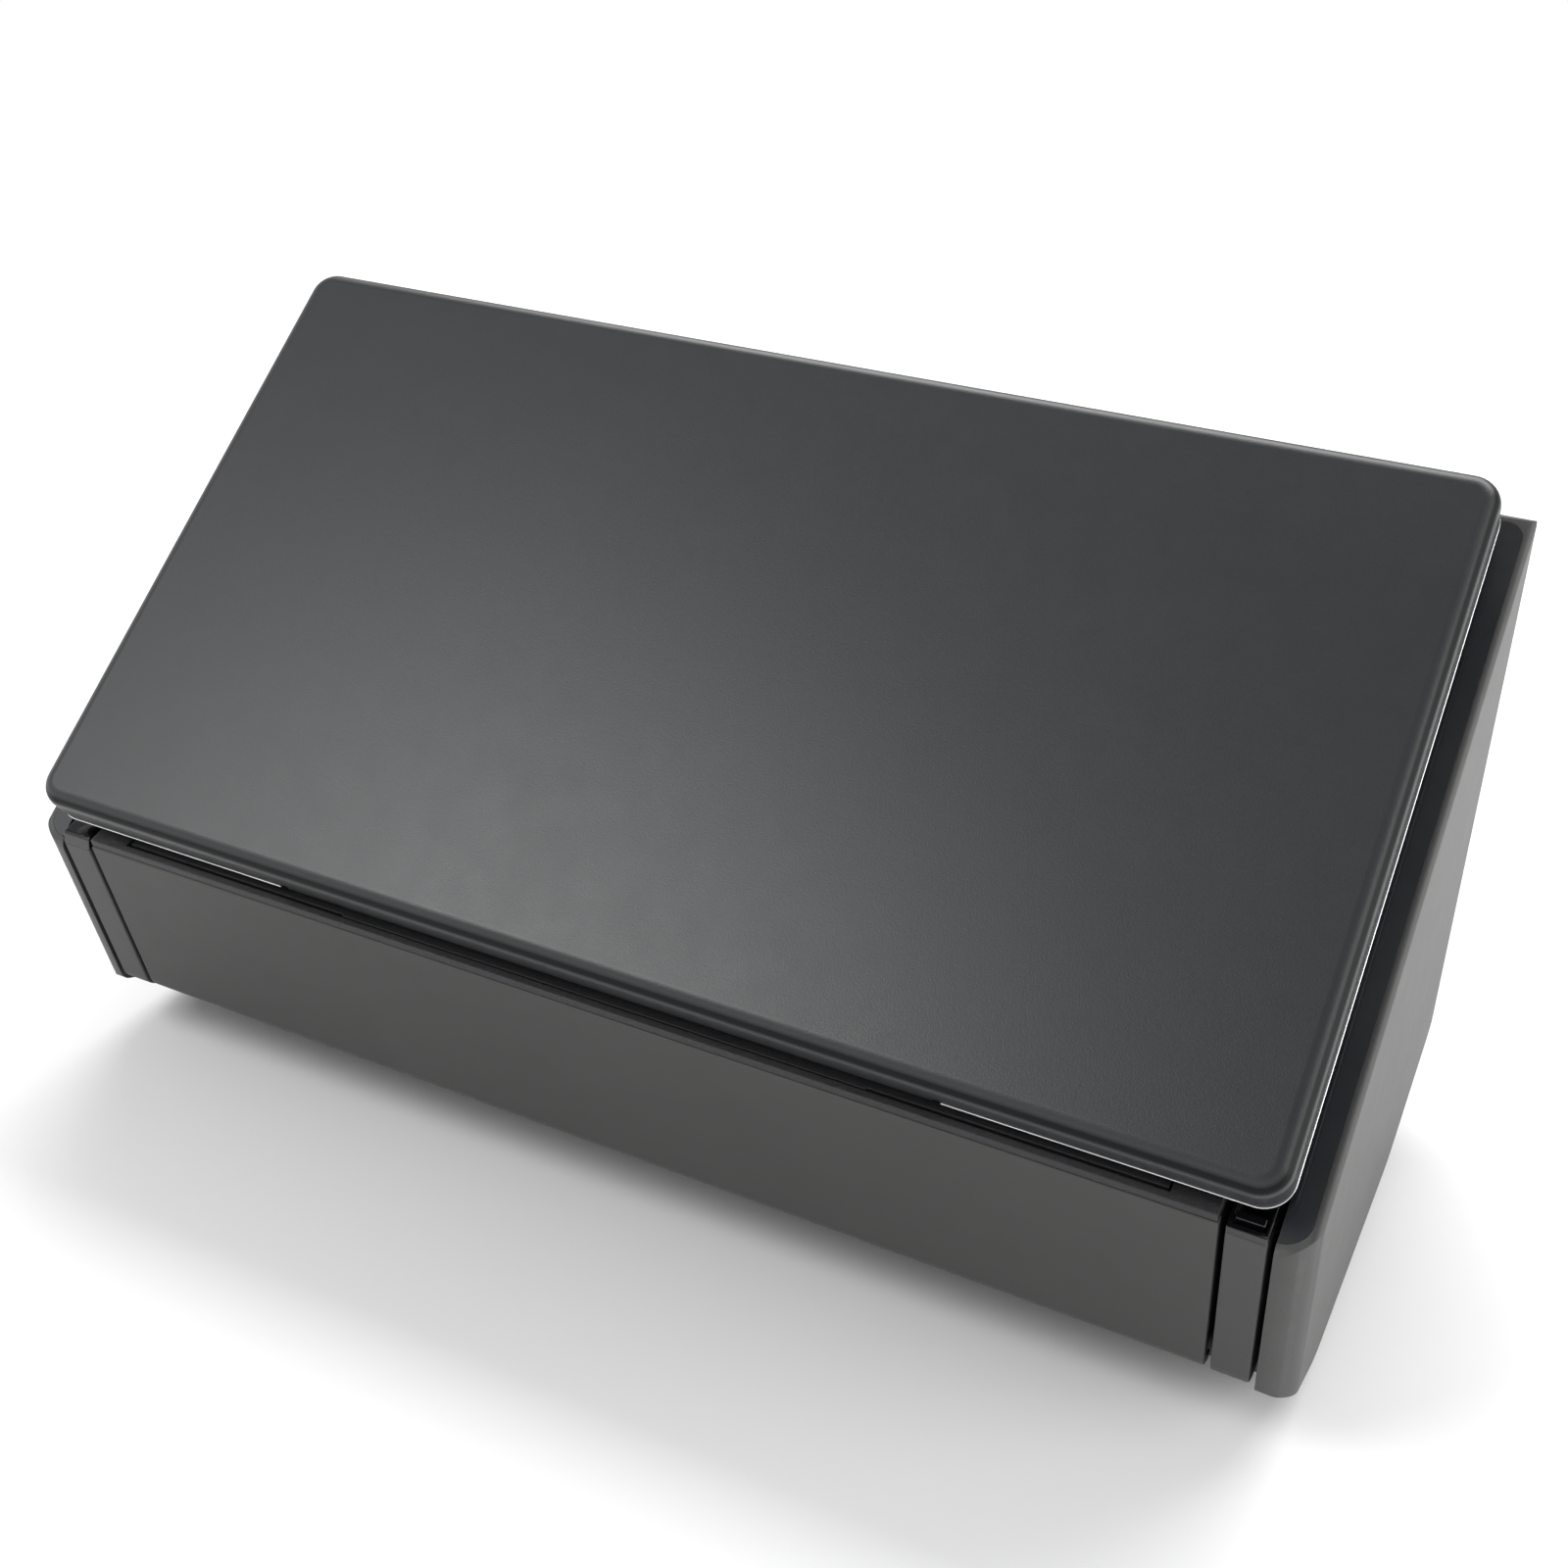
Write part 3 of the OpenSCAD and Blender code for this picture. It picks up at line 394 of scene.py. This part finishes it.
def cuboid(u, v, n, matrix):
    """A cutter box in one of the frames."""
    ring = [(u[0], v[0]), (u[1], v[0]), (u[1], v[1]), (u[0], v[1])]
    return loft("cutter", [[(*p, n[0]) for p in ring], [(*p, n[1]) for p in ring]], matrix, inner)


def cut(piece, cutters, operation="DIFFERENCE"):
    """Applies one exact boolean per cutter and removes the cutters."""
    for cutter in cutters:
        step = piece.modifiers.new("cut", "BOOLEAN")
        step.operation = operation
        step.solver = "EXACT"
        step.object = cutter
        graph = bpy.context.evaluated_depsgraph_get()
        graph.update()
        done = bpy.data.meshes.new_from_object(piece.evaluated_get(graph), depsgraph=graph)
        piece.modifiers.remove(step)
        piece.data = done
        bpy.data.objects.remove(cutter)


def even_normals(piece):
    piece.modifiers.new("normals", "WEIGHTED_NORMAL").keep_sharp = True


def round_edges(piece, width, angle_deg):
    """Radius in millimetres on the edges that turn more than the angle."""
    bevel = piece.modifiers.new("edges", "BEVEL")
    bevel.width = width * MM
    bevel.segments = 3
    bevel.limit_method = "ANGLE"
    bevel.angle_limit = math.radians(angle_deg)
    return bevel


def stand_in(piece, node, body):
    """The piece takes the place of a CAD node."""
    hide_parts(node)
    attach(piece, body)


# ---------------------------------------------------------------- lid

LID_HALF = nodes["lid_trim"].dimensions.x / MM / 2 - TRIM_PROUD
LID_L = 143.8
LID_H = 10.5
LID_R = 6                  # corners in plan
LID_WALL = 1.8
LID_TOP = 2                # thickness of the top
SHOULDER = 3.6             # radius of the soft edge round the top
EDGE_NOTCH = 74.9          # half width of the notch for the chute extension
RECESS_HALF = 119          # half width of the low notch over the hinge
EAR_U, EAR_HALF = 115, 2.6           # slots that clear the hinge ears
REAR_WALL = (LID_L - 4, LID_L + 4)   # a cutter this deep passes right through it


def lid_cover():
    """Hollow shell from the inside of its top, down the wall, and up over the shoulder."""
    levels = [(LID_H - LID_TOP, 5.2), (LID_H - LID_TOP - 0.4, 3.4), (LID_H - LID_TOP - 1.6, 2.2),
              (LID_H - LID_TOP - 3, LID_WALL), (1.1, LID_WALL), (TRIM_H + 0.02, LID_WALL + 0.15),
              (TRIM_H + 0.02, 0.2), (1.1, 0.03), (1.5, 0)]
    for a in range(0, 91, 6):
        turn = math.radians(a)
        levels.append((LID_H - SHOULDER * (1 - math.sin(turn)), SHOULDER * (1 - math.cos(turn))))
    rings = [[(*p, n) for p in round_box(LID_HALF, LID_L, LID_R, inset)] for n, inset in levels]
    shell = loft("lid_cover", rings, LID, lid_skin)
    cut(shell, [cuboid((-EDGE_NOTCH, EDGE_NOTCH), (-2, 3), (-1, 2.2), LID),
                cuboid((-RECESS_HALF, RECESS_HALF), REAR_WALL, (-1, 2.6), LID)])
    cut(shell, [cuboid((u - EAR_HALF, u + EAR_HALF), REAR_WALL, (-1, LID_H - LID_TOP), LID)
                for u in (-EAR_U, EAR_U)])
    smooth(shell.data)
    even_normals(shell)
    stand_in(shell, "lid_shell", "lid")


lid_cover()

# ---------------------------------------------------------------- side covers

REAL = Matrix.Scale(MM, 4)           # the machine's own axes, in millimetres
BODY_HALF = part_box("side_cover_right")[1].x / MM
COVER_IN = BODY_HALF - 6.9           # inner side of a cover
COVER_WALL = 2.4
COVER_FRONT = 4.4                    # thickness of the front wall
TOP_N = -4                           # top of the covers, in the lid frame
FLOOR_Z = 5.4
REAR_LEAN = 16
REAR_FOOT = (seat.y + 152.6, 21.4)   # lower rear corner, y and z
REAR = (Matrix.Translation((0, REAR_FOOT[0] * MM, REAR_FOOT[1] * MM))
        @ Matrix.Rotation(math.radians(180 + REAR_LEAN), 4, "X") @ REAL)
INLAY_OUT = BODY_HALF - 1.7
INLAY_V = (-3.7, 142.6)
INLAY_T = 1.8
FRONT_R, REAR_R, TOP_R = 6.7, 3, 1.6
BLOCK_DEPTH, BLOCK_REACH = 300, 250  # each larger than any side of the machine


def on_side(matrix, a, b):
    """(y, z) in millimetres of a point of the lid or face frame."""
    point = matrix @ Vector((0, a, b)) / MM
    return point.y, point.z


def cover_outline():
    return rounded([(on_side(FACE, -4.45, 0), 4), (on_side(FACE, -50, 0), 4),
                    ((seat.y + 40, FLOOR_Z), 30), ((seat.y + 112, FLOOR_Z), 30),
                    (REAR_FOOT, 9), (on_side(LID, 145.3, TOP_N), 1.4)])


def cover_hollow():
    floor_z = FLOOR_Z + COVER_WALL
    return rounded([(on_side(FACE, -7.6, -COVER_FRONT), 2), (on_side(FACE, -46, -COVER_FRONT), 2),
                    ((seat.y + 41, floor_z), 28), ((seat.y + 111, floor_z), 28),
                    ((REAR_FOOT[0] - 3.4, REAR_FOOT[1] + 1.6), 6), (on_side(LID, 141, -8.6), 3)])


def inlay_pocket():
    return rounded([((COVER_IN - 1, INLAY_V[0]), 0), ((INLAY_OUT, INLAY_V[0]), 5),
                    ((INLAY_OUT, INLAY_V[1]), 3.4), ((COVER_IN - 1, INLAY_V[1]), 0)], 6)


def soft_corner(r, place, matrix):
    """Block behind a flat wall that keeps the outer corner of a cover rounded."""
    plan = rounded([((0, 0), 0), ((BODY_HALF, 0), r), ((BODY_HALF, BLOCK_DEPTH), 0),
                    ((0, BLOCK_DEPTH), 0)], 14)
    return prism(plan, -BLOCK_REACH, BLOCK_REACH, place, matrix)


def side_cover(side, node):
    """Moulded cover: soft front, rear and top corners, hollow behind, pocket for the inlay."""
    def across(y, z, x):
        return side * x, y, z

    def behind_face(x, depth, s):
        return side * x, s, -depth

    def behind_rear(x, depth, s):
        return side * x, depth, s

    def below_top(x, depth, v):
        return side * x, v, TOP_N - depth

    def plan(u, v, n):
        return side * u, v, n

    cover = prism(cover_outline(), COVER_IN, BODY_HALF, across, REAL)
    cover.name = node + "_shell"
    cut(cover, [soft_corner(FRONT_R, behind_face, FACE), soft_corner(REAR_R, behind_rear, REAR),
                soft_corner(TOP_R, below_top, LID)], "INTERSECT")
    cut(cover, [prism(cover_hollow(), COVER_IN - 1, BODY_HALF - COVER_WALL, across, REAL),
                prism(inlay_pocket(), TOP_N - INLAY_T, 9, plan, LID)])
    smooth(cover.data)
    cover.data.materials.clear()
    cover.data.materials.append(casing)
    round_edges(cover, 0.2, 55)
    even_normals(cover)
    stand_in(cover, node, "root")


side_cover(-1, "side_cover_left")
side_cover(1, "side_cover_right")

# ---------------------------------------------------------------- CAD nodes that stay

def soften(name, material, width):
    """Gives a CAD node its material and small moulded edge radii."""
    piece = nodes[name]
    for slot in piece.material_slots:
        slot.material = material
    if width:
        weld = piece.modifiers.new("weld", "WELD")
        weld.merge_threshold = 1e-6
        flat = piece.modifiers.new("flat", "DECIMATE")
        flat.decimate_type = "DISSOLVE"
        flat.angle_limit = math.radians(0.6)
        round_edges(piece, width, 35).harden_normals = True
        even_normals(piece)


# Per material: the nodes and the radius of their edges in millimetres.
FINISH = (
    (underside, {"base_tray": 0.4}),
    (casing, {"rear_cover": 0.3}),
    (inlay_skin, {"side_inlay_left": 0.2, "side_inlay_right": 0.2}),
    (strip_skin, {"front_strip_left": 0.4, "front_strip_right": 0.4}),
    (gloss_black, {"strip_cap_left": 0.3, "strip_cap_right": 0.25, "release_tab": 0.25}),
    (panel_skin, {"stacker_skin": 0.35}),
    (coarse, {"stacker_frame": 0.25, "stacker_stage_one": 0.3, "stacker_stage_two": 0.3}),
    (silver, {"lid_trim": 0.15}),
    (lid_skin, {"chute_extension": 0.25}),
    (inner, {"lid_inner_panel": 0.2, "guide_left": 0.2, "guide_right": 0.2, "front_upper_cover": 0.35,
             "top_deck_left": 0.25, "top_deck_right": 0.25, "left_frame": 0.2, "right_frame": 0.2,
             "upper_guide": 0.2, "lower_guide": 0.2, "lower_scan_unit": 0.3, "upper_scan_unit": 0.3,
             "paper_flag": 0.15, "power_inlet": 0.25}),
    (glass, {"lower_glass": 0, "upper_glass": 0}),
    (steel, {"lid_hinge_pins": 0.15, "pick_shaft": 0.2, "feed_shaft": 0.2, "eject_shaft": 0.2,
             "brake_shaft": 0.2, "motor_pinion": 0.1, "drive_motor": 0.4, "data_port": 0.2,
             "housing_screws": 0.2}),
    (tyre, {"pick_tyres": 0.3, "feed_tyres": 0.3, "eject_tyres": 0.3, "brake_tyre": 0.3}),
    (acetal, {"guide_pinion": 0, "shaft_bushes": 0.15, "pick_gear": 0.1, "feed_gear": 0.1,
              "eject_gear": 0.1, "pick_idler_gear": 0.1, "eject_idler_gear": 0.1,
              "reduction_gear": 0.1, "feed_pinch_roller": 0.25, "eject_pinch_roller": 0.25}),
    (board, {"main_board": 0.1}),
    (button_skin, {"scan_button": 0.35}),
    (foot, {"foot_pads": 0.5}))

for material, widths in FINISH:
    for name, width in widths.items():
        soften(name, material, width)

# ---------------------------------------------------------------- floor

bpy.ops.mesh.primitive_plane_add(size=2.6, location=(0, 0, 0))
floor = bpy.context.object
floor.name = "floor"
paper = Shader("floor_paper")
tone = paper.noise(3, 3)
paper.set(Base_Color=paper.ramp(tone, [(0.3, (0.9, 0.9, 0.9)), (0.7, (0.93, 0.93, 0.93))]),
          Roughness=paper.remap(tone, 0.85, 0.92))
floor.data.materials.append(paper.material)
